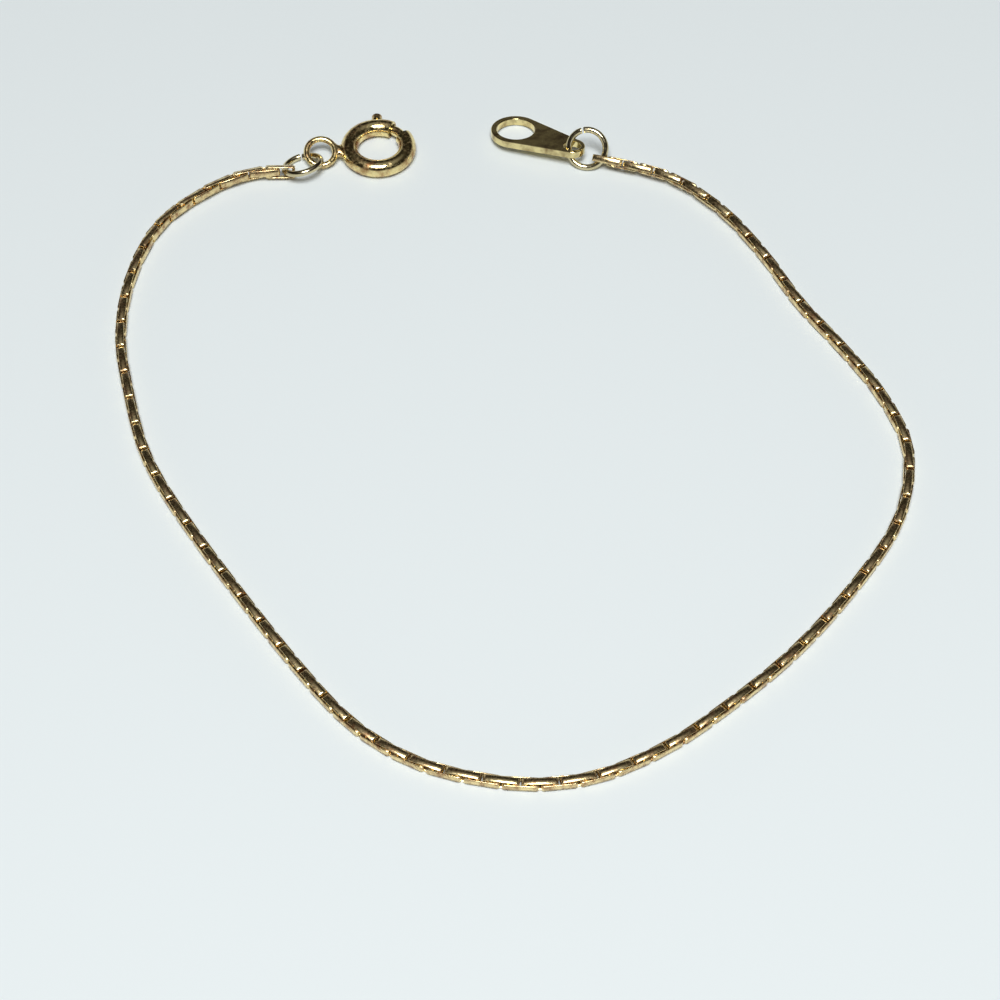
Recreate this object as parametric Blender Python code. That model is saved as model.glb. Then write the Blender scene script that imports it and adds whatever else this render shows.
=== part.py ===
"""Fine gold-tone chain bracelet, lying open on a table.

A square-section chain of long flat links runs from a spring ring clasp round to a flat
end tag, with a split jump ring at each end. Lengths are metres, +Z is up, the table is
z = 0 and the origin is at the middle of the bracelet's outline.
"""

import math

import bmesh
import bpy
from mathutils import Matrix, Vector

MM = 0.001

# Chain: long loops of flat strip, each turned a quarter round from the last one
LINK_PITCH = 1.30 * MM
LINK_HEIGHT = 0.80 * MM
LINK_BAR = 0.09 * MM
LINK_ROW_GAP = 0.12 * MM
LINK_CORNER = 0.18 * MM
LINK_CLEARANCE = 0.04 * MM
LINK_SOLDER = 0.03 * MM
CHAIN_JOIN_GAP = 0.07 * MM
CHAIN_JOIN_LINK = 78
CORNER_STEPS = 2

# End links, taller so that a jump ring's wire goes through them
END_WIRE_CLEARANCE = 0.14 * MM
END_WIRE_ROOM = 0.16 * MM
END_WIRE_PLAY = 0.29 * MM
END_BAR = 0.22 * MM
END_RISE_LINKS = 14

# Jump rings, both alike
JUMP_OUTER_DIAMETER = 3.50 * MM
JUMP_WIRE = 0.50 * MM
JUMP_SPLIT = 0.14 * MM
JUMP_STEPS = 26
WIRE_SIDES = 8

# Spring ring: a hollow tube bent into a ring, with a gap and a soldered eye
CLASP_OUTER_DIAMETER = 6.10 * MM
CLASP_TUBE = 1.40 * MM
CLASP_WALL = 0.20 * MM
CLASP_GAP_START = 33.0
CLASP_GAP_END = 63.0
CLASP_STEPS = 30
TUBE_SIDES = 10
EYE_OUTER_DIAMETER = 2.80 * MM
EYE_WIRE = 0.50 * MM
EYE_HEADING = 189.3
EYE_TURN = 22.5
EYE_NECK_DIAMETER = 0.90 * MM
EYE_NECK_GAP = 0.21 * MM
EYE_RISE = 0.25 * MM
EYE_STEPS = 20

# Bolt that slides in the tube, with the knob that moves it
BOLT_CLEARANCE = 0.10 * MM
BOLT_ENTRY = 6.0
BOLT_TRAVEL = 38.0
BOLT_TAIL = 9.0
BOLT_STEPS = 12
KNOB_ANGLE = 93.5
KNOB_DIAMETER = 0.84 * MM
KNOB_REACH = 0.50 * MM
KNOB_NECK = 0.46 * MM
KNOB_NECK_GAP = 0.06 * MM
KNOB_SIDES = 14

# End tag: a teardrop plate with a large hole for the clasp and a small one for the jump ring
TAG_WIDE_RADIUS = 2.02 * MM
TAG_HOLE_RADIUS = 1.54 * MM
TAG_TIP_WALL = 0.34 * MM
TAG_LENGTH = 8.20 * MM
TAG_THICKNESS = 0.60 * MM
TAG_WIRE_CLEARANCE = 0.43 * MM
TAG_BEVEL = 0.05 * MM
TAG_STEPS = 28
TAG_SETTLE_STEPS = 6

# Places on the table, in plan
CLASP_CENTRE = (-10.37 * MM, 28.26 * MM)
LEFT_RING_CENTRE = (-16.39 * MM, 26.22 * MM)
RIGHT_RING_CENTRE = (6.49 * MM, 27.48 * MM)

# Where the wire passes the middle of the tag's small hole: short of it and to one side
TAG_HANG = 0.22 * MM
TAG_HANG_SIDE = 0.23 * MM

# How the loose end pieces lean, in degrees: the lean and the plan direction that it faces
LEFT_RING_LEAN = (21.9, 126.6)
RIGHT_RING_LEAN = (48.7, -100.8)
LEFT_RING_CHAIN_HEADING = 207.0
RIGHT_RING_CHAIN_HEADING = -38.0
RING_SPLIT_HEADING = 100.0
RIGHT_RING_TAG_HEADING = 179.0
TAG_HEADING = -27.8
TAG_ROLL = -10.5
RING_REST = 0.02 * MM

# Route of the chain in plan, millimetres, from the right jump ring to the left one
CHAIN_ROUTE_MM = [
    (13.21, 24.79),
    (17.10, 21.26),
    (20.12, 16.59),
    (22.60, 11.55),
    (25.40, 7.07),
    (27.91, 2.49),
    (29.43, -2.68),
    (28.64, -8.19),
    (26.20, -12.97),
    (20.07, -20.81),
    (13.27, -26.96),
    (9.69, -29.39),
    (5.90, -31.10),
    (1.92, -31.69),
    (-2.06, -31.25),
    (-5.94, -30.06),
    (-9.56, -27.81),
    (-12.71, -24.56),
    (-18.40, -16.78),
    (-24.05, -8.18),
    (-26.59, -3.30),
    (-28.25, 2.26),
    (-29.41, 8.19),
    (-29.15, 14.30),
    (-27.30, 19.85),
    (-23.67, 23.62),
    (-20.35, 25.35),
]
ROUTE_SAMPLES = 24

# Sizes that follow from the ones above
JUMP_RADIUS = (JUMP_OUTER_DIAMETER - JUMP_WIRE) / 2
LINK_SLOT = LINK_HEIGHT - 2 * LINK_BAR
LINK_STRIP = LINK_SLOT - 2 * LINK_CLEARANCE
END_SLOT = JUMP_WIRE + 2 * END_WIRE_CLEARANCE
END_HEIGHT = END_SLOT + 2 * LINK_BAR
CLASP_RADIUS = (CLASP_OUTER_DIAMETER - CLASP_TUBE) / 2
CLASP_BORE = CLASP_TUBE - 2 * CLASP_WALL
BOLT_DIAMETER = CLASP_BORE - 2 * BOLT_CLEARANCE
EYE_RADIUS = (EYE_OUTER_DIAMETER - EYE_WIRE) / 2
TAG_SMALL_HOLE_RADIUS = JUMP_WIRE / 2 + TAG_WIRE_CLEARANCE
TAG_TIP_RADIUS = TAG_SMALL_HOLE_RADIUS + TAG_TIP_WALL
TAG_TIP_CENTRE = TAG_LENGTH - TAG_WIDE_RADIUS - TAG_TIP_RADIUS


def clear_scene():
    """Remove the objects that the scene starts with."""
    for item in list(bpy.data.objects):
        bpy.data.objects.remove(item, do_unlink=True)


def metal(name, colour, roughness):
    """Make a plain metal material."""
    material = bpy.data.materials.new(name)
    material.use_nodes = True
    shader = material.node_tree.nodes["Principled BSDF"]
    shader.inputs["Base Color"].default_value = (*colour, 1.0)
    shader.inputs["Metallic"].default_value = 1.0
    shader.inputs["Roughness"].default_value = roughness
    material.diffuse_color = (*colour, 1.0)
    return material


def chain_gold():
    """Yellow gold-tone plating of the chain."""
    return metal("chain_gold", (0.78, 0.54, 0.22), 0.22)


def clasp_gold():
    """Polished yellow plating of the clasp and the tag."""
    return metal("clasp_gold", (0.80, 0.58, 0.26), 0.14)


def ring_gold():
    """Paler plating of the jump rings."""
    return metal("ring_gold", (0.80, 0.66, 0.40), 0.18)


def add_object(name, bm, material):
    """Turn a bmesh into a named object with its material."""
    bmesh.ops.recalc_face_normals(bm, faces=bm.faces)
    mesh = bpy.data.meshes.new(name)
    bm.to_mesh(mesh)
    bm.free()
    mesh.materials.append(material)
    item = bpy.data.objects.new(name, mesh)
    bpy.context.scene.collection.objects.link(item)
    return item


def shade_round(item, angle=40.0):
    """Shade the round faces smooth and keep the edges crisp."""
    item.data.shade_smooth()
    item.data.set_sharp_from_angle(angle=math.radians(angle))


def boolean(item, other, operation):
    """Join or cut item with other and remove other."""
    modifier = item.modifiers.new(operation.lower(), "BOOLEAN")
    modifier.operation = operation
    modifier.solver = "EXACT"
    modifier.object = other
    depsgraph = bpy.context.evaluated_depsgraph_get()
    result = bpy.data.meshes.new_from_object(item.evaluated_get(depsgraph))
    item.modifiers.remove(modifier)
    item.data = result
    result.name = item.name
    bpy.data.objects.remove(other, do_unlink=True)


def turn_to(heading):
    """Rotation about Z by a heading in degrees."""
    return Matrix.Rotation(math.radians(heading), 4, "Z")


def lean_matrix(lean):
    """Rotation that leans +Z by lean[0] degrees towards the plan heading lean[1]."""
    angle, heading = lean
    axis = Vector((-math.sin(math.radians(heading)), math.cos(math.radians(heading)), 0.0))
    return Matrix.Rotation(math.radians(angle), 4, axis)


def ring_point(radius, angle):
    """Point of a circle in the XY plane, angle in degrees."""
    return Vector((radius * math.cos(math.radians(angle)), radius * math.sin(math.radians(angle)), 0.0))


def circle_section(bm, radius, angle, width, sides):
    """Add one round section of a wire bent round Z and return its vertices."""
    centre = ring_point(radius, angle)
    outward = ring_point(1.0, angle)
    section = []
    for index in range(sides):
        turn = 2 * math.pi * index / sides
        offset = outward * math.cos(turn) + Vector((0.0, 0.0, math.sin(turn)))
        section.append(bm.verts.new(centre + offset * width / 2))
    return section


def bridge(bm, first, second):
    """Join two sections of equal length with a band of quads."""
    count = len(first)
    for index in range(count):
        following = (index + 1) % count
        bm.faces.new((first[index], first[following], second[following], second[index]))


def arc_sections(bm, radius, width, start, end, steps, sides):
    """Add the sections of an arc of wire, from angle start to angle end."""
    angles = [start + (end - start) * index / steps for index in range(steps + 1)]
    sections = [circle_section(bm, radius, angle, width, sides) for angle in angles]
    for first, second in zip(sections, sections[1:]):
        bridge(bm, first, second)
    return sections


def wire_arc(bm, radius, width, start, end, steps, sides):
    """Add an arc of solid wire with flat ends."""
    sections = arc_sections(bm, radius, width, start, end, steps, sides)
    bm.faces.new(sections[0])
    bm.faces.new(sections[-1])


def wire_loop(bm, radius, width, steps, sides):
    """Add a closed ring of wire."""
    angles = [360.0 * index / steps for index in range(steps)]
    sections = [circle_section(bm, radius, angle, width, sides) for angle in angles]
    for first, second in zip(sections, sections[1:] + sections[:1]):
        bridge(bm, first, second)


def rod(bm, start, end, start_width, end_width, sides):
    """Add a round rod or cone between two points."""
    axis = end - start
    turn = axis.to_track_quat("Z", "Y").to_matrix().to_4x4()
    place = Matrix.Translation((start + end) / 2) @ turn
    bmesh.ops.create_cone(bm, cap_ends=True, segments=sides, radius1=start_width / 2,
                          radius2=end_width / 2, depth=axis.length, matrix=place)


def rounded_rectangle(back, front, height, corner, steps):
    """Outline of a rectangle from x = back to x = front with round corners."""
    half = height / 2 - corner
    centres = [(front - corner, half, 0), (back + corner, half, 90),
               (back + corner, -half, 180), (front - corner, -half, 270)]
    outline = []
    for x, y, first in centres:
        for index in range(steps + 1):
            angle = math.radians(first + 90 * index / steps)
            outline.append((x + corner * math.cos(angle), y + corner * math.sin(angle)))
    return outline


def link_body(bm, place, back, front, slot_back, slot_front, height, slot):
    """Add one link: a flat strip bent into a long loop in its own XY plane."""
    outer = rounded_rectangle(back, front, height, LINK_CORNER, CORNER_STEPS)
    inner = [(slot_front, slot / 2), (slot_back, slot / 2),
             (slot_back, -slot / 2), (slot_front, -slot / 2)]
    layers = []
    for z in (-LINK_STRIP / 2, LINK_STRIP / 2):
        layers.append(([bm.verts.new(place @ Vector((x, y, z))) for x, y in outer],
                       [bm.verts.new(place @ Vector((x, y, z))) for x, y in inner]))
    (low_outer, low_inner), (high_outer, high_inner) = layers
    bridge(bm, low_outer, high_outer)
    bridge(bm, high_inner, low_inner)
    for ring, hole in ((low_outer, low_inner), (high_outer, high_inner)):
        cap_link(bm, ring, hole)


def cap_link(bm, ring, hole):
    """Close one side of a link between its outline and its slot."""
    per_corner = CORNER_STEPS + 1
    for corner in range(4):
        following = (corner + 1) % 4
        arc = ring[corner * per_corner:(corner + 1) * per_corner]
        for first, second in zip(arc, arc[1:]):
            bm.faces.new((hole[corner], first, second))
        bm.faces.new((hole[corner], arc[-1], ring[following * per_corner], hole[following]))


def smooth_route(points):
    """Points of a smooth curve through the given ones, with its length so far at each."""
    count = len(points)
    spans = [(points[index + 1] - points[index]).length for index in range(count - 1)]
    slopes = []
    for index in range(count):
        before = max(index - 1, 0)
        after = min(index + 1, count - 1)
        slopes.append((points[after] - points[before]) / sum(spans[before:after]))
    curve = [points[0]]
    for index in range(count - 1):
        span = spans[index]
        for sample in range(1, ROUTE_SAMPLES + 1):
            t = sample / ROUTE_SAMPLES
            curve.append(points[index] * (2 * t**3 - 3 * t**2 + 1)
                         + slopes[index] * span * (t**3 - 2 * t**2 + t)
                         + points[index + 1] * (3 * t**2 - 2 * t**3)
                         + slopes[index + 1] * span * (t**3 - t**2))
    lengths = [0.0]
    for first, second in zip(curve, curve[1:]):
        lengths.append(lengths[-1] + (second - first).length)
    return curve, lengths


def point_at(curve, lengths, distance):
    """Point at a distance along the curve."""
    index = 1
    while index < len(lengths) - 1 and lengths[index] < distance:
        index += 1
    share = (distance - lengths[index - 1]) / (lengths[index] - lengths[index - 1])
    return curve[index - 1].lerp(curve[index], share)


def jump_ring_place(centre, lean):
    """Place of a leaning jump ring whose lowest side rests on the table."""
    height = JUMP_RADIUS * math.sin(math.radians(lean[0])) + JUMP_WIRE / 2 + RING_REST
    return Matrix.Translation((centre[0], centre[1], height)) @ lean_matrix(lean)


def wire_at(place, heading):
    """Point of a jump ring's wire that another piece holds, and the wire's direction."""
    point = place @ ring_point(JUMP_RADIUS, heading)
    direction = place.to_3x3() @ ring_point(1.0, heading + 90)
    return point, direction


def build_jump_ring(name, place):
    """Round wire ring with a saw cut, its ends a little out of line."""
    half_cut = math.degrees(JUMP_SPLIT / JUMP_RADIUS) / 2
    bm = bmesh.new()
    wire_arc(bm, JUMP_RADIUS, JUMP_WIRE, RING_SPLIT_HEADING + half_cut,
             RING_SPLIT_HEADING + 360 - half_cut, JUMP_STEPS, WIRE_SIDES)
    bm.transform(place)
    item = add_object(name, bm, ring_gold())
    shade_round(item)


def clasp_place():
    """Place of the spring ring's centre, lying on the table."""
    return Matrix.Translation((*CLASP_CENTRE, CLASP_TUBE / 2))


def hollow_ring(bm):
    """Add the hollow tube from one side of the gap round to the other."""
    start = CLASP_GAP_END
    end = CLASP_GAP_START + 360
    outer = arc_sections(bm, CLASP_RADIUS, CLASP_TUBE, start, end, CLASP_STEPS, TUBE_SIDES)
    inner = arc_sections(bm, CLASP_RADIUS, CLASP_BORE, start, end, CLASP_STEPS, TUBE_SIDES)
    bridge(bm, outer[0], inner[0])
    bridge(bm, outer[-1], inner[-1])


def eye_body():
    """Soldered eye beside the ring, with the short neck that joins them."""
    tilt = Matrix.Rotation(math.radians(EYE_TURN), 4, "X")
    out = CLASP_OUTER_DIAMETER / 2 + EYE_NECK_GAP + EYE_OUTER_DIAMETER / 2
    turn = turn_to(EYE_HEADING) @ Matrix.Translation((out, 0.0, EYE_RISE))
    bm = bmesh.new()
    wire_loop(bm, EYE_RADIUS, EYE_WIRE, EYE_STEPS, WIRE_SIDES)
    bm.transform(turn @ tilt.inverted())
    solder_depth = CLASP_BORE / 2 + CLASP_WALL / 2
    root = Vector((CLASP_RADIUS, 0.0, 0.0))
    far = Vector((out - EYE_RADIUS, 0.0, EYE_RISE))
    near = root + (far - root).normalized() * solder_depth
    neck = bmesh.new()
    rod(neck, near, far, EYE_NECK_DIAMETER, EYE_NECK_DIAMETER, WIRE_SIDES)
    neck.transform(turn_to(EYE_HEADING))
    return bm, neck


def knob_slot():
    """Cutter for the slot in the tube's outer wall that the knob's neck runs in."""
    width = KNOB_NECK + 2 * KNOB_NECK_GAP
    margin = math.degrees(math.asin(width / CLASP_OUTER_DIAMETER))
    start = KNOB_ANGLE - margin
    end = KNOB_ANGLE + BOLT_TRAVEL + margin
    steps = max(4, round((end - start) / 8))
    bm = bmesh.new()
    sections = []
    for index in range(steps + 1):
        angle = start + (end - start) * index / steps
        corners = []
        for radius, z in ((CLASP_RADIUS, -width / 2), (CLASP_OUTER_DIAMETER, -width / 2),
                          (CLASP_OUTER_DIAMETER, width / 2), (CLASP_RADIUS, width / 2)):
            corners.append(bm.verts.new(ring_point(radius, angle) + Vector((0.0, 0.0, z))))
        sections.append(corners)
    for first, second in zip(sections, sections[1:]):
        bridge(bm, first, second)
    bm.faces.new(sections[0])
    bm.faces.new(sections[-1])
    return bm


def build_spring_ring():
    """Hollow ring with its eye, one solid of soldered metal."""
    gold = clasp_gold()
    bm = bmesh.new()
    hollow_ring(bm)
    ring = add_object("spring_ring", bm, gold)
    boolean(ring, add_object("slot_cutter", knob_slot(), gold), "DIFFERENCE")
    eye, neck = eye_body()
    eye_item = add_object("eye", eye, gold)
    boolean(eye_item, add_object("neck", neck, gold), "UNION")
    boolean(ring, eye_item, "UNION")
    ring.data.transform(clasp_place())
    shade_round(ring)


def build_bolt():
    """Curved bolt across the gap, with the knob that slides it back."""
    gold = clasp_gold()
    bm = bmesh.new()
    wire_arc(bm, CLASP_RADIUS, BOLT_DIAMETER, CLASP_GAP_START - BOLT_ENTRY,
             KNOB_ANGLE + BOLT_TAIL, BOLT_STEPS, TUBE_SIDES)
    bolt = add_object("bolt", bm, gold)
    neck = bmesh.new()
    head_start = CLASP_OUTER_DIAMETER / 2 + KNOB_NECK_GAP
    head_end = CLASP_OUTER_DIAMETER / 2 + KNOB_REACH
    rod(neck, ring_point(CLASP_RADIUS, KNOB_ANGLE), ring_point(head_end, KNOB_ANGLE),
        KNOB_NECK, KNOB_NECK, KNOB_SIDES)
    head = bmesh.new()
    rod(head, ring_point(head_start, KNOB_ANGLE), ring_point(head_end + KNOB_NECK_GAP, KNOB_ANGLE),
        KNOB_DIAMETER, KNOB_DIAMETER, KNOB_SIDES)
    neck_item = add_object("knob_neck", neck, gold)
    boolean(neck_item, add_object("knob_head", head, gold), "UNION")
    boolean(bolt, neck_item, "UNION")
    bolt.matrix_world = clasp_place()
    shade_round(bolt)


def teardrop(steps):
    """Outline of the tag: two arcs joined by their common tangents, wide end at x = 0."""
    slant = math.degrees(math.acos((TAG_WIDE_RADIUS - TAG_TIP_RADIUS) / TAG_TIP_CENTRE))
    wide_steps = round(steps * 0.7)
    tip_steps = steps - wide_steps
    outline = []
    for index in range(wide_steps + 1):
        angle = slant + (360 - 2 * slant) * index / wide_steps
        outline.append(ring_point(TAG_WIDE_RADIUS, angle))
    tip_centre = Vector((TAG_TIP_CENTRE, 0.0, 0.0))
    for index in range(tip_steps + 1):
        angle = -slant + 2 * slant * index / tip_steps
        outline.append(tip_centre + ring_point(TAG_TIP_RADIUS, angle))
    return outline


def tag_place(hold):
    """Place of the tag's large hole: hung on the jump ring's wire, its wide end on the table."""
    arm = Vector((TAG_TIP_CENTRE - TAG_HANG, -TAG_HANG_SIDE, 0.0))
    roll = Matrix.Rotation(math.radians(TAG_ROLL), 4, "X")
    pitch = 0.0
    for _ in range(TAG_SETTLE_STEPS):
        turn = turn_to(TAG_HEADING) @ Matrix.Rotation(-pitch, 4, "Y") @ roll
        lean = math.acos(turn[2][2])
        rest = TAG_WIDE_RADIUS * math.sin(lean) + TAG_THICKNESS / 2 * math.cos(lean)
        pitch = math.asin((hold.z - rest - arm.y * turn[2][1]) / arm.x)
    return Matrix.Translation(hold - turn.to_3x3() @ arm) @ turn


def build_tag(hold):
    """Teardrop plate with its two holes."""
    gold = clasp_gold()
    bm = bmesh.new()
    low = [bm.verts.new(point - Vector((0, 0, TAG_THICKNESS / 2))) for point in teardrop(TAG_STEPS)]
    high = [bm.verts.new(point + Vector((0, 0, TAG_THICKNESS / 2))) for point in teardrop(TAG_STEPS)]
    bridge(bm, low, high)
    rims = [bm.faces.new(low), bm.faces.new(high)]
    edges = list({edge for face in rims for edge in face.edges})
    bmesh.ops.bevel(bm, geom=edges, offset=TAG_BEVEL, segments=1, affect="EDGES")
    tag = add_object("tag", bm, gold)
    for centre, radius, sides in ((0.0, TAG_HOLE_RADIUS, 24),
                                  (TAG_TIP_CENTRE, TAG_SMALL_HOLE_RADIUS, 16)):
        drill = bmesh.new()
        rod(drill, Vector((centre, 0, -TAG_THICKNESS)), Vector((centre, 0, TAG_THICKNESS)),
            2 * radius, 2 * radius, sides)
        boolean(tag, add_object("drill", drill, gold), "DIFFERENCE")
    tag.data.transform(tag_place(hold))
    shade_round(tag, 30.0)


def link_places(right_hold, left_hold, reach):
    """Centre and direction of each link along the route, and the spacing between them."""
    points = [Vector((right_hold.x, right_hold.y, 0.0))]
    points += [Vector((x * MM, y * MM, 0.0)) for x, y in CHAIN_ROUTE_MM]
    points += [Vector((left_hold.x, left_hold.y, 0.0))]
    curve, lengths = smooth_route(points)
    run = lengths[-1] - 2 * reach
    count = 2 * round(run / LINK_PITCH / 2) + 1
    spacing = run / (count - 1)
    places = []
    for index in range(count):
        distance = reach + spacing * index
        before = point_at(curve, lengths, distance - spacing / 2)
        after = point_at(curve, lengths, distance + spacing / 2)
        centre = point_at(curve, lengths, distance)
        places.append((centre, (after - before).normalized()))
    return places, spacing


def end_rise(steps_away, hold, wire, direction):
    """Height and twist of a link that is some steps away from a jump ring's wire."""
    share = max(0.0, 1 - steps_away / END_RISE_LINKS)
    side = Vector((-direction.y, direction.x, 0.0))
    twist = math.atan(wire.z / wire.dot(side))
    return share * (hold.z - LINK_HEIGHT / 2), share * twist


def link_matrices(places, right_end, left_end):
    """Place of each link: the chain lies flat and rises a little to the jump rings."""
    last = len(places) - 1
    matrices = []
    for index, (centre, direction) in enumerate(places):
        right_rise, right_twist = end_rise(index, *right_end, places[0][1])
        left_rise, left_twist = end_rise(last - index, *left_end, places[last][1])
        quarter = math.radians(90 if index % 2 == 0 else 0)
        height = LINK_HEIGHT / 2 + right_rise + left_rise
        roll = Matrix.Rotation(quarter + right_twist + left_twist, 4, "X")
        heading = math.degrees(math.atan2(direction.y, direction.x))
        matrices.append(Matrix.Translation((centre.x, centre.y, height)) @ turn_to(heading) @ roll)
    return matrices


def build_chain(right_end, left_end):
    """The chain in two lengths that interlock."""
    gold = chain_gold()
    wire_room = JUMP_WIRE / 2 + END_WIRE_ROOM
    places, spacing = link_places(right_end[0], left_end[0], wire_room)
    matrices = link_matrices(places, right_end, left_end)
    half_length = spacing - LINK_ROW_GAP / 2
    held = (spacing - LINK_SOLDER) / 2
    loose = (spacing + CHAIN_JOIN_GAP) / 2
    end_slot = wire_room + JUMP_WIRE / 2 + END_WIRE_PLAY
    last = len(matrices) - 1
    join = CHAIN_JOIN_LINK
    for name, first_link, last_link in (("chain_right", 0, join), ("chain_left", join + 1, last)):
        rows = [bmesh.new(), bmesh.new()]
        for index in range(first_link, last_link + 1):
            is_end = index in (0, last)
            height = END_HEIGHT if is_end else LINK_HEIGHT
            slot = END_SLOT if is_end else LINK_SLOT
            back, slot_back = -half_length, -held
            front, slot_front = half_length, held
            if index == join:
                slot_front = loose
            if index == join + 1:
                slot_back = -loose
            if index == 0:
                back, slot_back = -(end_slot + END_BAR), -end_slot
            if index == last:
                front, slot_front = end_slot + END_BAR, end_slot
            link_body(rows[index % 2], matrices[index], back, front, slot_back, slot_front,
                      height, slot)
        chain = add_object(name, rows[0], gold)
        boolean(chain, add_object("flat_row", rows[1], gold), "UNION")
        shade_round(chain)


def main():
    """Build the whole bracelet."""
    clear_scene()
    right_place = jump_ring_place(RIGHT_RING_CENTRE, RIGHT_RING_LEAN)
    left_place = jump_ring_place(LEFT_RING_CENTRE, LEFT_RING_LEAN)
    build_chain(wire_at(right_place, RIGHT_RING_CHAIN_HEADING),
                wire_at(left_place, LEFT_RING_CHAIN_HEADING))
    build_jump_ring("jump_ring_right", right_place)
    build_jump_ring("jump_ring_left", left_place)
    build_spring_ring()
    build_bolt()
    build_tag(wire_at(right_place, RIGHT_RING_TAG_HEADING)[0])


main()
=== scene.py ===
"""Fine gold-tone chain bracelet, lying open on a pale table.

The CAD frame gives the sizes and the moving body. This script dresses it: a finer chain,
clasp, jump rings and end tag in plated brass, with the table, the lights and the camera.
Lengths are metres, +Z is up and the table is z = 0.
"""

import logging
import math
from collections.abc import Callable, Iterable
from dataclasses import dataclass
from enum import Enum

import bmesh
import bpy
from mathutils import Matrix, Vector

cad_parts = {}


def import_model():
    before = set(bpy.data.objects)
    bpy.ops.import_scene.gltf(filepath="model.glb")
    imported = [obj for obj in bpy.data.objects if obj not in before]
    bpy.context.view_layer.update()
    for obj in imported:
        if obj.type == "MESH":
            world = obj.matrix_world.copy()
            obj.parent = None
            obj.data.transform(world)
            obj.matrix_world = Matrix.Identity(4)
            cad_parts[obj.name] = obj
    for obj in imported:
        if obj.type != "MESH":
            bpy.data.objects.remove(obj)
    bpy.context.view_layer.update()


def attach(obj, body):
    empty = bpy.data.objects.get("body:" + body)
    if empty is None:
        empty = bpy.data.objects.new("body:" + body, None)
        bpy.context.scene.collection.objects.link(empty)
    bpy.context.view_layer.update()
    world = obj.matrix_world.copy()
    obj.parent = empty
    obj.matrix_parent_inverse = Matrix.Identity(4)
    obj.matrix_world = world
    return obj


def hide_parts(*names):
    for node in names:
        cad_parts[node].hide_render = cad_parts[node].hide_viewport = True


MM = 0.001
LOG = logging.getLogger("bracelet")
BRACELET = "bracelet"
BOLT = "bolt"


class Side(Enum):
    """Which end of the chain a jump ring hangs on."""

    RIGHT = "right"
    LEFT = "left"


def linear(hex_colour: str) -> tuple[float, float, float, float]:
    """Turn an sRGB hex colour into a linear RGBA one.

    Args:
        hex_colour: Six hex digits, such as "c8a050".

    Returns:
        Linear red, green, blue and an alpha of 1.
    """
    channels = [int(hex_colour[index:index + 2], 16) / 255 for index in (0, 2, 4)]
    values = [c / 12.92 if c <= 0.04045 else ((c + 0.055) / 1.055) ** 2.4 for c in channels]
    return values[0], values[1], values[2], 1.0


def add_node(tree: bpy.types.NodeTree, kind: str, settings: dict | None = None,
             inputs: dict | None = None) -> bpy.types.Node:
    """Add a node with its settings and links.

    Args:
        tree: Node tree that gets the node.
        kind: Blender's identifier of the node.
        settings: Attribute name to value.
        inputs: Socket name or index to a plain value or to the output socket that feeds it.

    Returns:
        The new node.
    """
    node = tree.nodes.new(kind)
    for name, value in (settings or {}).items():
        setattr(node, name, value)
    for name, value in (inputs or {}).items():
        if isinstance(value, bpy.types.NodeSocket):
            tree.links.new(value, node.inputs[name])
        else:
            node.inputs[name].default_value = value
    return node


def turn_to(heading: float) -> Matrix:
    """Rotation about Z by a heading in degrees."""
    return Matrix.Rotation(math.radians(heading), 4, "Z")


def lean_matrix(lean: tuple[float, float]) -> Matrix:
    """Rotation that leans +Z to one side.

    Args:
        lean: How far it leans and the plan heading it leans towards, in degrees.

    Returns:
        The rotation.
    """
    angle, heading = lean
    axis = Vector((-math.sin(math.radians(heading)), math.cos(math.radians(heading)), 0.0))
    return Matrix.Rotation(math.radians(angle), 4, axis)


def ring_point(radius: float, angle: float) -> Vector:
    """Point of a circle in the XY plane, angle in degrees."""
    turn = math.radians(angle)
    return Vector((radius * math.cos(turn), radius * math.sin(turn), 0.0))


def ease(share: float) -> float:
    """Smooth step from 0 to 1."""
    share = min(max(share, 0.0), 1.0)
    return share * share * (3 - 2 * share)


def bridge(bm: bmesh.types.BMesh, first: list, second: list) -> None:
    """Join two closed loops of vertices of equal length with a band of quads.

    Args:
        bm: Mesh under construction.
        first: Vertices of one loop.
        second: Vertices of the other loop.
    """
    count = len(first)
    for index in range(count):
        following = (index + 1) % count
        bm.faces.new((first[index], first[following], second[following], second[index]))


def round_section(bm: bmesh.types.BMesh, radius: float, angle: float, width: float,
                  sides: int, rise: float = 0.0) -> list:
    """Add one round section of a wire that is bent round Z.

    Args:
        bm: Mesh under construction.
        radius: Radius of the bend, at the wire's middle.
        angle: Place on the bend, in degrees.
        width: Diameter of the section.
        sides: Number of vertices.
        rise: Height of the section's middle above the bend's plane.

    Returns:
        The section's vertices, in order.
    """
    outward = ring_point(1.0, angle)
    centre = outward * radius + Vector((0.0, 0.0, rise))
    section = []
    for index in range(sides):
        turn = 2 * math.pi * index / sides
        offset = outward * math.cos(turn) + Vector((0.0, 0.0, math.sin(turn)))
        section.append(bm.verts.new(centre + offset * width / 2))
    return section


def sweep(bm: bmesh.types.BMesh, sections: list[list]) -> None:
    """Join a row of sections with bands of quads."""
    for first, second in zip(sections, sections[1:]):
        bridge(bm, first, second)


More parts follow.
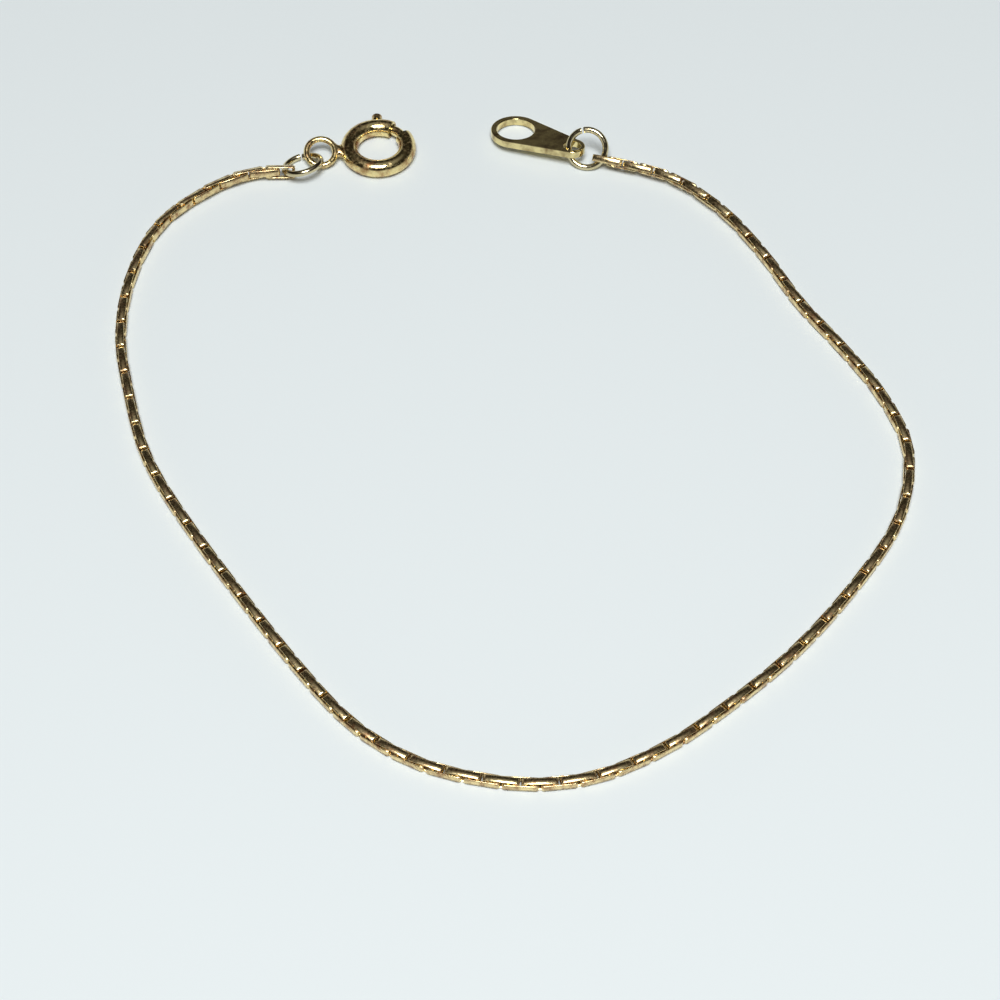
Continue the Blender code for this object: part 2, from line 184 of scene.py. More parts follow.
def bent_wire(bm: bmesh.types.BMesh, radius: float, width: float, start: float, end: float,
              steps: int, sides: int, rounding: float,
              rise: Callable[[float], float] | None = None) -> None:
    """Add an arc of solid wire with rounded ends.

    Args:
        bm: Mesh under construction.
        radius: Radius of the arc, at the wire's middle.
        width: Diameter of the wire.
        start: Angle of the first end, in degrees.
        end: Angle of the second end.
        steps: Number of bands between the ends.
        sides: Number of faces round the wire.
        rounding: Radius of the round edge at each end.
        rise: Height above the bend's plane for a share of 0 to 1 along the arc.
    """
    stations = [(start + (end - start) * index / steps, 0.0) for index in range(steps + 1)]
    nose = math.degrees(rounding / radius) * (1 if end > start else -1)
    turns = [(math.cos(t), math.sin(t)) for t in (0.0, 0.52, 1.05, 1.57)]
    first = [(start + nose * (1 - c), rounding * (1 - s)) for c, s in turns]
    last = [(end - nose * (1 - c), rounding * (1 - s)) for c, s in reversed(turns)]
    inner = [s for s in stations if nose * (s[0] - start - nose) > 0 and nose * (end - nose - s[0]) > 0]
    sections = []
    for angle, inset in first + inner + last:
        share = (angle - start) / (end - start)
        height = rise(share) if rise else 0.0
        sections.append(round_section(bm, radius, angle, width - 2 * inset, sides, height))
    sweep(bm, sections)
    bm.faces.new(sections[0])
    bm.faces.new(sections[-1])


def closed_ring(bm: bmesh.types.BMesh, radius: float, width: float, steps: int, sides: int) -> None:
    """Add a closed ring of round wire.

    Args:
        bm: Mesh under construction.
        radius: Radius at the wire's middle.
        width: Diameter of the wire.
        steps: Number of bands round the ring.
        sides: Number of faces round the wire.
    """
    sections = [round_section(bm, radius, 360.0 * index / steps, width, sides)
                for index in range(steps)]
    sweep(bm, sections + sections[:1])


def turned(bm: bmesh.types.BMesh, start: Vector, axis: Vector, profile: Iterable[tuple[float, float]],
           sides: int) -> None:
    """Add a turned shape, such as a knob or a neck, with flat ends.

    Args:
        bm: Mesh under construction.
        start: Point on the axis where the profile begins.
        axis: Direction of the axis.
        profile: Distance along the axis and diameter of each section.
        sides: Number of faces round the shape.
    """
    turn = axis.to_track_quat("Z", "Y").to_matrix().to_4x4()
    place = Matrix.Translation(start) @ turn
    sections = []
    for along, width in profile:
        section = []
        for index in range(sides):
            point = ring_point(width / 2, 360.0 * index / sides)
            section.append(bm.verts.new(place @ (point + Vector((0.0, 0.0, along)))))
        sections.append(section)
    sweep(bm, sections)
    bm.faces.new(sections[0])
    bm.faces.new(sections[-1])


def append(bm: bmesh.types.BMesh, other: bmesh.types.BMesh) -> None:
    """Add a copy of another mesh, and free the other one.

    Args:
        bm: Mesh under construction.
        other: Mesh that is added.
    """
    spare = bpy.data.meshes.new("spare")
    other.to_mesh(spare)
    other.free()
    bm.from_mesh(spare)
    bpy.data.meshes.remove(spare)


def mesh_object(name: str, bm: bmesh.types.BMesh, material: bpy.types.Material,
                smooth_angle: float = 35.0) -> bpy.types.Object:
    """Turn a bmesh into an object with outward faces, smooth shading and its material.

    Args:
        name: Name of the piece.
        bm: Finished mesh, which is freed.
        material: Finish of the piece.
        smooth_angle: Edges sharper than this, in degrees, stay crisp.

    Returns:
        The new object, at the origin.
    """
    bmesh.ops.recalc_face_normals(bm, faces=bm.faces)
    mesh = bpy.data.meshes.new(name)
    bm.to_mesh(mesh)
    bm.free()
    mesh.materials.append(material)
    mesh.shade_smooth()
    mesh.set_sharp_from_angle(angle=math.radians(smooth_angle))
    item = bpy.data.objects.new(name, mesh)
    bpy.context.scene.collection.objects.link(item)
    return item


def settle_modifiers(item: bpy.types.Object) -> None:
    """Turn an object's modifiers into plain mesh.

    Args:
        item: Object that is changed.
    """
    depsgraph = bpy.context.evaluated_depsgraph_get()
    result = bpy.data.meshes.new_from_object(item.evaluated_get(depsgraph))
    item.modifiers.clear()
    item.data = result
    result.name = item.name


def boolean(item: bpy.types.Object, other: bpy.types.Object, operation: str) -> None:
    """Cut or join item with other, and remove other.

    Args:
        item: Object that is changed.
        other: Cutter or added piece.
        operation: "DIFFERENCE" or "UNION".
    """
    modifier = item.modifiers.new(operation.lower(), "BOOLEAN")
    modifier.operation = operation
    modifier.solver = "EXACT"
    modifier.object = other
    settle_modifiers(item)
    bpy.data.objects.remove(other, do_unlink=True)


def soften_edges(item: bpy.types.Object, width: float, segments: int) -> None:
    """Round an object's crisp edges.

    Args:
        item: Object that is changed.
        width: Width of the rounding.
        segments: Number of faces across it.
    """
    modifier = item.modifiers.new("edge", "BEVEL")
    modifier.width = width
    modifier.segments = segments
    modifier.limit_method = "ANGLE"
    modifier.angle_limit = math.radians(40)
    modifier.harden_normals = True
    settle_modifiers(item)


def finish_piece(item: bpy.types.Object, body: str, slot: str, *nodes: str) -> bpy.types.Object:
    """Hand a finished piece to the frame.

    Args:
        item: Finished piece.
        body: Body that it moves with.
        slot: Material slot of the record; not used.
        nodes: CAD nodes that it stands for.

    Returns:
        The same piece.
    """
    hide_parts(*nodes)
    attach(item, body)
    LOG.info("%s: %d faces, on %s", item.name, len(item.data.polygons), body)
    return item


@dataclass(frozen=True)
class PlatedBrass:
    """Gold plate over polished brass: a mirror with a warm tint.

    The plate is a few microns thick, so the eye sees yellow reflections of the room, dulled
    here and there by handling marks and by thin, browner tarnish.
    """

    name: str
    plate: str
    tarnish: str
    tarnish_share: float
    roughness: float
    worn_roughness: float
    patch_mm: float
    mark_mm: float
    mark_depth_mm: float
    tarnish_range: tuple[float, float] = (0.42, 0.68)
    wear_range: tuple[float, float] = (0.86, 1.22)

    def material(self) -> bpy.types.Material:
        """Build the material.

        Returns:
            The finished material.
        """
        material = bpy.data.materials.new(self.name)
        material.use_nodes = True
        tree = material.node_tree
        shader = tree.nodes["Principled BSDF"]
        shader.inputs["Metallic"].default_value = 1.0
        place = add_node(tree, "ShaderNodeTexCoord").outputs["Object"]
        patches = add_node(tree, "ShaderNodeTexNoise", None, {
            "Vector": place, "Scale": 1 / (self.patch_mm * MM), "Detail": 3.0, "Roughness": 0.6})
        share = add_node(tree, "ShaderNodeMapRange", None, {
            "Value": patches.outputs["Fac"], "From Min": self.tarnish_range[0],
            "From Max": self.tarnish_range[1], "To Min": 0.0, "To Max": self.tarnish_share})
        colour = add_node(tree, "ShaderNodeMix", {"data_type": "RGBA"}, {
            "Factor": share.outputs["Result"], "A": linear(self.plate), "B": linear(self.tarnish)})
        marks = add_node(tree, "ShaderNodeTexNoise", None, {
            "Vector": place, "Scale": 1 / (self.mark_mm * MM), "Detail": 2.0, "Roughness": 0.5})
        wear = add_node(tree, "ShaderNodeMath", {"operation": "ADD"}, {
            0: marks.outputs["Fac"], 1: patches.outputs["Fac"]})
        gloss = add_node(tree, "ShaderNodeMapRange", None, {
            "Value": wear.outputs["Value"], "From Min": self.wear_range[0],
            "From Max": self.wear_range[1], "To Min": self.roughness,
            "To Max": self.worn_roughness})
        bump = add_node(tree, "ShaderNodeBump", None, {
            "Height": marks.outputs["Fac"], "Distance": self.mark_depth_mm * MM, "Strength": 1.0})
        tree.links.new(colour.outputs["Result"], shader.inputs["Base Color"])
        tree.links.new(gloss.outputs["Result"], shader.inputs["Roughness"])
        tree.links.new(bump.outputs["Normal"], shader.inputs["Normal"])
        return material


# Tumble-polished links: bright, with many small marks from rubbing on each other
CHAIN_PLATE = PlatedBrass(
    name="gold_plated_brass_links", plate="f0daa4", tarnish="8a5636", tarnish_share=0.80,
    roughness=0.18, worn_roughness=0.36, patch_mm=0.55, mark_mm=0.16, mark_depth_mm=0.002)
# Buffed clasp, with duller and browner patches where fingers work the bolt
CLASP_PLATE = PlatedBrass(
    name="gold_plated_brass_buffed", plate="f4e0a2", tarnish="8a4e28", tarnish_share=0.85,
    roughness=0.08, worn_roughness=0.42, patch_mm=0.9, mark_mm=0.24, mark_depth_mm=0.004)
# Stamped and polished tag: the flattest mirror of all the pieces
TAG_PLATE = PlatedBrass(
    name="gold_plated_brass_stamped", plate="f0dea2", tarnish="6e4f32", tarnish_share=0.80,
    roughness=0.05, worn_roughness=0.16, patch_mm=1.1, mark_mm=0.30, mark_depth_mm=0.002)
# Drawn wire of the jump rings: a paler plate, with little tarnish
RING_PLATE = PlatedBrass(
    name="pale_gold_plated_wire", plate="dacda6", tarnish="a3936c", tarnish_share=0.45,
    roughness=0.10, worn_roughness=0.20, patch_mm=1.2, mark_mm=0.18, mark_depth_mm=0.003)


@dataclass(frozen=True)
class PaleTable:
    """Matt off-white table top, smooth and even, without gloss."""

    colour: str = "e5ebeb"
    roughness: float = 0.75

    def material(self) -> bpy.types.Material:
        """Build the table's material.

        Returns:
            The finished material.
        """
        material = bpy.data.materials.new("matt_pale_laminate")
        material.use_nodes = True
        shader = material.node_tree.nodes["Principled BSDF"]
        shader.inputs["Base Color"].default_value = linear(self.colour)
        shader.inputs["Roughness"].default_value = self.roughness
        shader.inputs["Specular IOR Level"].default_value = 0.2
        return material


@dataclass
class JumpRing:
    """Round wire ring with a saw cut, its two ends slightly out of line."""

    side: Side
    centre: tuple[float, float]
    lean: tuple[float, float]
    chain_heading: float
    outer_diameter: float = 3.50 * MM
    wire: float = 0.50 * MM
    split: float = 0.14 * MM
    split_heading: float = 100.0
    rest: float = 0.02 * MM
    step_out: float = 0.07 * MM
    step_share: float = 0.16
    steps: int = 72
    sides: int = 18
    end_rounding: float = 0.04 * MM

    @property
    def radius(self) -> float:
        """Radius at the wire's middle."""
        return (self.outer_diameter - self.wire) / 2

    @property
    def place(self) -> Matrix:
        """Place of the ring's centre, with its lowest side on the table."""
        height = self.radius * math.sin(math.radians(self.lean[0])) + self.wire / 2 + self.rest
        return Matrix.Translation((*self.centre, height)) @ lean_matrix(self.lean)

    def wire_at(self, heading: float) -> tuple[Vector, Vector]:
        """Find the wire's middle at a heading round the ring.

        Args:
            heading: Angle round the ring, in degrees.

        Returns:
            The wire's middle there, and its direction.
        """
        point = self.place @ ring_point(self.radius, heading)
        direction = self.place.to_3x3() @ ring_point(1.0, heading + 90)
        return point, direction

    def hold(self) -> tuple[Vector, Vector]:
        """Find where the chain's end link holds the wire, and the wire's direction there."""
        return self.wire_at(self.chain_heading)

    def rise(self, share: float) -> float:
        """Height of the wire above the ring's plane, which grows towards the cut.

        Args:
            share: Share of the way along the wire, from 0 to 1.

        Returns:
            The height, up at the start of the wire and down at its end.
        """
        start = 1 - ease(share / self.step_share)
        end = 1 - ease((1 - share) / self.step_share)
        return self.step_out * (start - end) / 2

    def build(self) -> bpy.types.Object:
        """Build the ring and hand it to the frame.

        Returns:
            The finished piece.
        """
        half_cut = math.degrees(self.split / self.radius) / 2
        bm = bmesh.new()
        bent_wire(bm, self.radius, self.wire, self.split_heading + half_cut,
                  self.split_heading + 360 - half_cut, self.steps, self.sides,
                  self.end_rounding, self.rise)
        bm.transform(self.place)
        name = f"jump_ring_{self.side.value}"
        item = mesh_object(f"{name}_wire", bm, RING_PLATE.material())
        return finish_piece(item, BRACELET, "ring_gold", name)


@dataclass
class Chain:
    """Chain of long flat-strip loops, each turned a quarter round from the last one."""

    right_ring: JumpRing
    left_ring: JumpRing
    pitch: float = 1.30 * MM
    height: float = 0.80 * MM
    bar: float = 0.09 * MM
    row_gap: float = 0.12 * MM
    corner: float = 0.18 * MM
    clearance: float = 0.04 * MM
    play: float = 0.02 * MM
    edge: float = 0.03 * MM
    end_wire_clearance: float = 0.14 * MM
    end_wire_room: float = 0.16 * MM
    end_wire_play: float = 0.29 * MM
    end_bar: float = 0.22 * MM
    rise_links: int = 14
    sway: float = 0.35
    seed: int = 4
    corner_steps: int = 2
    route_samples: int = 24

    # Route in plan, millimetres, from the right jump ring to the left one
    route_mm = (
        (13.21, 24.79), (17.10, 21.26), (20.12, 16.59), (22.60, 11.55), (25.40, 7.07),
        (27.91, 2.49), (29.43, -2.68), (28.64, -8.19), (26.20, -12.97), (20.07, -20.81),
        (13.27, -26.96), (9.69, -29.39), (5.90, -31.10), (1.92, -31.69), (-2.06, -31.25),
        (-5.94, -30.06), (-9.56, -27.81), (-12.71, -24.56), (-18.40, -16.78), (-24.05, -8.18),
        (-26.59, -3.30), (-28.25, 2.26), (-29.41, 8.19), (-29.15, 14.30), (-27.30, 19.85),
        (-23.67, 23.62), (-20.35, 25.35),
    )

    @property
    def slot(self) -> float:
        """Height of a link's opening."""
        return self.height - 2 * self.bar

    @property
    def strip(self) -> float:
        """Width of the strip that a link is bent from."""
        return self.slot - 2 * self.clearance

    @property
    def wire_room(self) -> float:
        """From an end link's centre to the middle of the wire that it holds."""
        return self.right_ring.wire / 2 + self.end_wire_room

    def smooth_route(self) -> tuple[list[Vector], list[float]]:
        """Run a smooth curve from one jump ring to the other.

        Returns:
            Points of the curve, and the length so far at each of them.
        """
        right = self.right_ring.hold()[0]
        left = self.left_ring.hold()[0]
        points = [Vector((right.x, right.y, 0.0))]
        points += [Vector((x * MM, y * MM, 0.0)) for x, y in self.route_mm]
        points += [Vector((left.x, left.y, 0.0))]
        count = len(points)
        spans = [(points[index + 1] - points[index]).length for index in range(count - 1)]
        slopes = []
        for index in range(count):
            before = max(index - 1, 0)
            after = min(index + 1, count - 1)
            slopes.append((points[after] - points[before]) / sum(spans[before:after]))
        curve = [points[0]]
        for index, span in enumerate(spans):
            for sample in range(1, self.route_samples + 1):
                t = sample / self.route_samples
                curve.append(points[index] * (2 * t**3 - 3 * t**2 + 1)
                             + slopes[index] * span * (t**3 - 2 * t**2 + t)
                             + points[index + 1] * (3 * t**2 - 2 * t**3)
                             + slopes[index + 1] * span * (t**3 - t**2))
        lengths = [0.0]
        for first, second in zip(curve, curve[1:]):
            lengths.append(lengths[-1] + (second - first).length)
        return curve, lengths

    @staticmethod
    def point_at(curve: list[Vector], lengths: list[float], distance: float) -> Vector:
        """Find the point at a distance along the curve.

        Args:
            curve: Points of the curve.
            lengths: Length so far at each point.
            distance: Distance from the curve's start.

        Returns:
            The point.
        """
        index = 1
        while index < len(lengths) - 1 and lengths[index] < distance:
            index += 1
        share = (distance - lengths[index - 1]) / (lengths[index] - lengths[index - 1])
        return curve[index - 1].lerp(curve[index], share)

    def link_centres(self) -> tuple[list[Vector], float]:
        """Space the links evenly along the route, with an odd number of them.

        Returns:
            The links' centres in plan, and the spacing between them.
        """
        curve, lengths = self.smooth_route()
        run = lengths[-1] - 2 * self.wire_room
        count = 2 * round(run / self.pitch / 2) + 1
        spacing = run / (count - 1)
        centres = [self.point_at(curve, lengths, self.wire_room + spacing * index)
                   for index in range(count)]
        return centres, spacing

    def end_rise(self, steps_away: int, ring: JumpRing, direction: Vector) -> tuple[float, float]:
        """Lift and twist a link towards the wire of the jump ring that the chain ends on.

        Args:
            steps_away: Number of links between this one and the end link.
            ring: Jump ring at that end.
            direction: Direction of the chain at the end link.

        Returns:
            Height above the chain's usual middle, and the twist in radians.
        """
        point, wire = ring.hold()
        share = max(0.0, 1 - steps_away / self.rise_links)
        side = Vector((-direction.y, direction.x, 0.0))
        twist = math.atan(wire.z / wire.dot(side))
        return share * (point.z - self.height / 2), share * twist

    def route_curve(self, centres: list[Vector]) -> bpy.types.Object:
        """Lay a curve through the links' centres, tilted where the chain twists.

        Args:
            centres: Centres of the links in plan.

        Returns:
            The curve object.
        """
        last = len(centres) - 1
        first_direction = (centres[1] - centres[0]).normalized()
        last_direction = (centres[last] - centres[last - 1]).normalized()
        data = bpy.data.curves.new("chain_route", "CURVE")
        data.dimensions = "3D"
        spline = data.splines.new("POLY")
        spline.points.add(last)
        for index, centre in enumerate(centres):
            right_rise, right_twist = self.end_rise(index, self.right_ring, first_direction)
            left_rise, left_twist = self.end_rise(last - index, self.left_ring, last_direction)
            height = self.height / 2 + right_rise + left_rise
            spline.points[index].co = (centre.x, centre.y, height, 1.0)
            spline.points[index].tilt = right_twist + left_twist
        item = bpy.data.objects.new("chain_route", data)
        bpy.context.scene.collection.objects.link(item)
        return item

    def outline(self, back: float, front: float, height: float, corner: float,
                inset: float) -> list[Vector]:
        """Outline of a rectangle with round corners, in the link's own XY plane.

        Args:
            back: Lowest x.
            front: Highest x.
            height: Size along y.
            corner: Radius of the corners.
            inset: How far the whole outline is drawn in.

        Returns:
            The outline's points, in order.
        """
        back, front, height = back + inset, front - inset, height - 2 * inset
        half = height / 2 - corner
        centres = [(front - corner, half, 0), (back + corner, half, 90),
                   (back + corner, -half, 180), (front - corner, -half, 270)]
        points = []
        for x, y, first in centres:
            for index in range(self.corner_steps + 1):
                angle = first + 90 * index / self.corner_steps
                points.append(Vector((x, y, 0.0)) + ring_point(corner, angle))
        return points

    def link(self, name: str, back: float, front: float, slot_back: float, slot_front: float,
             height: float, slot: float, material: bpy.types.Material) -> bpy.types.Object:
        """Build one link, a flat strip bent into a long loop.

        Args:
            name: Name of the link.
            back: Where the link starts along x.
            front: Where it ends.
            slot_back: Where its opening starts.
            slot_front: Where its opening ends.
            height: Outer height.
            slot: Height of the opening.
            material: Finish of the link.

        Returns:
            The link at the origin, which is only repeated and never shown itself.
        """
        levels = ((-self.strip / 2, self.edge), (-self.strip / 2 + self.edge, 0.0),
                  (self.strip / 2 - self.edge, 0.0), (self.strip / 2, self.edge))
        bm = bmesh.new()
        loops = []
        for z, inset in levels:
            points = self.outline(back, front, height, self.corner, inset)
            loops.append([bm.verts.new(point + Vector((0.0, 0.0, z))) for point in points])
        for z, inset in levels:
            points = self.outline(slot_back, slot_front, slot, 2 * self.edge, -inset)
            loops.append([bm.verts.new(point + Vector((0.0, 0.0, z))) for point in points])
        sweep(bm, loops[:4])
        sweep(bm, loops[4:])
        bridge(bm, loops[0], loops[4])
        bridge(bm, loops[3], loops[7])
        item = mesh_object(name, bm, material, 50.0)
        item.hide_render = True
        return item

    def tree(self) -> bpy.types.GeometryNodeTree:
        """Build the node tree that strings the links on the route.

        Returns:
            The node group, with named inputs for its sizes.
        """
        tree = bpy.data.node_groups.new("links_on_route", "GeometryNodeTree")
        sockets = (("Geometry", "Geometry"), ("Link", "Object"), ("End Link", "Object"),
                   ("Count", "Int"), ("Quarter Turn", "Float"), ("Sway", "Float"),
                   ("Seed", "Int"), ("Metal", "Material"))
        for name, kind in sockets:
            tree.interface.new_socket(name, in_out="INPUT", socket_type=f"NodeSocket{kind}")
        tree.interface.new_socket("Geometry", in_out="OUTPUT", socket_type="NodeSocketGeometry")
        given = add_node(tree, "NodeGroupInput").outputs
        route = add_node(tree, "GeometryNodeResampleCurve", None, {
            "Curve": given["Geometry"], "Count": given["Count"]})
        tangent = add_node(tree, "GeometryNodeInputTangent").outputs["Tangent"]
        along = add_node(tree, "ShaderNodeVectorMath", {"operation": "MULTIPLY"}, {
            0: tangent, 1: (1.0, 1.0, 0.0)}).outputs["Vector"]
        base = add_node(tree, "FunctionNodeAxesToRotation", {
            "primary_axis": "X", "secondary_axis": "Z"}, {
            "Primary Axis": along, "Secondary Axis": (0.0, 0.0, 1.0)})
        index = add_node(tree, "GeometryNodeInputIndex").outputs["Index"]
        even = add_node(tree, "ShaderNodeMath", {"operation": "MODULO"}, {0: index, 1: 2.0})
        upright = add_node(tree, "ShaderNodeMath", {"operation": "SUBTRACT"}, {
            0: 1.0, 1: even.outputs["Value"]})
        quarter = add_node(tree, "ShaderNodeMath", {"operation": "MULTIPLY"}, {
            0: upright.outputs["Value"], 1: given["Quarter Turn"]})
        tilt = add_node(tree, "GeometryNodeInputCurveTilt").outputs["Tilt"]
        roll = add_node(tree, "ShaderNodeMath", {"operation": "ADD"}, {
            0: quarter.outputs["Value"], 1: tilt})
        least = add_node(tree, "ShaderNodeMath", {"operation": "MULTIPLY"}, {0: given["Sway"], 1: -1.0})
        sway = add_node(tree, "FunctionNodeRandomValue", {"data_type": "FLOAT"}, {
            2: least.outputs["Value"], 3: given["Sway"], "ID": index, "Seed": given["Seed"]})
        whole = add_node(tree, "ShaderNodeMath", {"operation": "ADD"}, {
            0: roll.outputs["Value"], 1: sway.outputs[1]})
        spin = add_node(tree, "FunctionNodeAxisAngleToRotation", None, {
            "Axis": (1.0, 0.0, 0.0), "Angle": whole.outputs["Value"]})
        rotation = add_node(tree, "FunctionNodeRotateRotation", {"rotation_space": "LOCAL"}, {
            "Rotation": base.outputs["Rotation"], "Rotate By": spin.outputs["Rotation"]})
        last = add_node(tree, "ShaderNodeMath", {"operation": "SUBTRACT"}, {0: given["Count"], 1: 1.0})
        at_last = add_node(tree, "FunctionNodeCompare", {
            "data_type": "FLOAT", "operation": "GREATER_EQUAL"}, {
            0: index, 1: last.outputs["Value"]})
        at_first = add_node(tree, "FunctionNodeCompare", {
            "data_type": "FLOAT", "operation": "LESS_THAN"}, {0: index, 1: 0.5})
        at_end = add_node(tree, "FunctionNodeBooleanMath", {"operation": "OR"}, {
            0: at_first.outputs["Result"], 1: at_last.outputs["Result"]})
        between = add_node(tree, "FunctionNodeBooleanMath", {"operation": "NOT"}, {
            0: at_end.outputs["Boolean"]})
        about = add_node(tree, "ShaderNodeMath", {"operation": "MULTIPLY"}, {
            0: at_last.outputs["Result"], 1: math.pi})
        flip = add_node(tree, "FunctionNodeAxisAngleToRotation", None, {
            "Axis": (0.0, 1.0, 0.0), "Angle": about.outputs["Value"]})
        end_rotation = add_node(tree, "FunctionNodeRotateRotation", {"rotation_space": "LOCAL"}, {
            "Rotation": rotation.outputs["Rotation"], "Rotate By": flip.outputs["Rotation"]})
        link = add_node(tree, "GeometryNodeObjectInfo", None, {"Object": given["Link"]})
        end_link = add_node(tree, "GeometryNodeObjectInfo", None, {"Object": given["End Link"]})
        links = add_node(tree, "GeometryNodeInstanceOnPoints", None, {
            "Points": route.outputs["Curve"], "Selection": between.outputs["Boolean"],
            "Instance": link.outputs["Geometry"], "Rotation": rotation.outputs["Rotation"]})
        ends = add_node(tree, "GeometryNodeInstanceOnPoints", None, {
            "Points": route.outputs["Curve"], "Selection": at_end.outputs["Boolean"],
            "Instance": end_link.outputs["Geometry"], "Rotation": end_rotation.outputs["Rotation"]})
        both = add_node(tree, "GeometryNodeJoinGeometry", None, {"Geometry": links.outputs["Instances"]})
        tree.links.new(ends.outputs["Instances"], both.inputs["Geometry"])
        solid = add_node(tree, "GeometryNodeRealizeInstances", None, {
            "Geometry": both.outputs["Geometry"]})
        dressed = add_node(tree, "GeometryNodeSetMaterial", None, {
            "Geometry": solid.outputs["Geometry"], "Material": given["Metal"]})
        add_node(tree, "NodeGroupOutput", None, {"Geometry": dressed.outputs["Geometry"]})
        return tree

    def build(self) -> bpy.types.Object:
        """Build the chain as one plain mesh and hand it to the frame.

        Returns:
            The finished piece.
        """
        metal = CHAIN_PLATE.material()
        centres, spacing = self.link_centres()
        half_length = spacing - self.row_gap / 2
        held = spacing / 2 + self.play
        wire = self.right_ring.wire
        end_slot = self.wire_room + wire / 2 + self.end_wire_play
        end_opening = wire + 2 * self.end_wire_clearance
        link = self.link("link", -half_length, half_length, -held, held, self.height, self.slot, metal)
        end_link = self.link("end_link", -(end_slot + self.end_bar), half_length, -end_slot, held,
                             end_opening + 2 * self.bar, end_opening, metal)
        route = self.route_curve(centres)
        tree = self.tree()
        modifier = route.modifiers.new("links", "NODES")
        modifier.node_group = tree
        values = {"Link": link, "End Link": end_link, "Count": len(centres),
                  "Quarter Turn": math.pi / 2, "Sway": math.radians(self.sway),
                  "Seed": self.seed, "Metal": metal}
        for socket in tree.interface.items_tree:
            if socket.in_out == "INPUT" and socket.name in values:
                modifier[socket.identifier] = values[socket.name]
        depsgraph = bpy.context.evaluated_depsgraph_get()
        mesh = bpy.data.meshes.new_from_object(route.evaluated_get(depsgraph))
        mesh.name = "chain_links"
        item = bpy.data.objects.new("chain_links", mesh)
        bpy.context.scene.collection.objects.link(item)
        for used in (route, link, end_link):
            bpy.data.objects.remove(used, do_unlink=True)
        return finish_piece(item, BRACELET, "chain_gold", "chain_right", "chain_left")


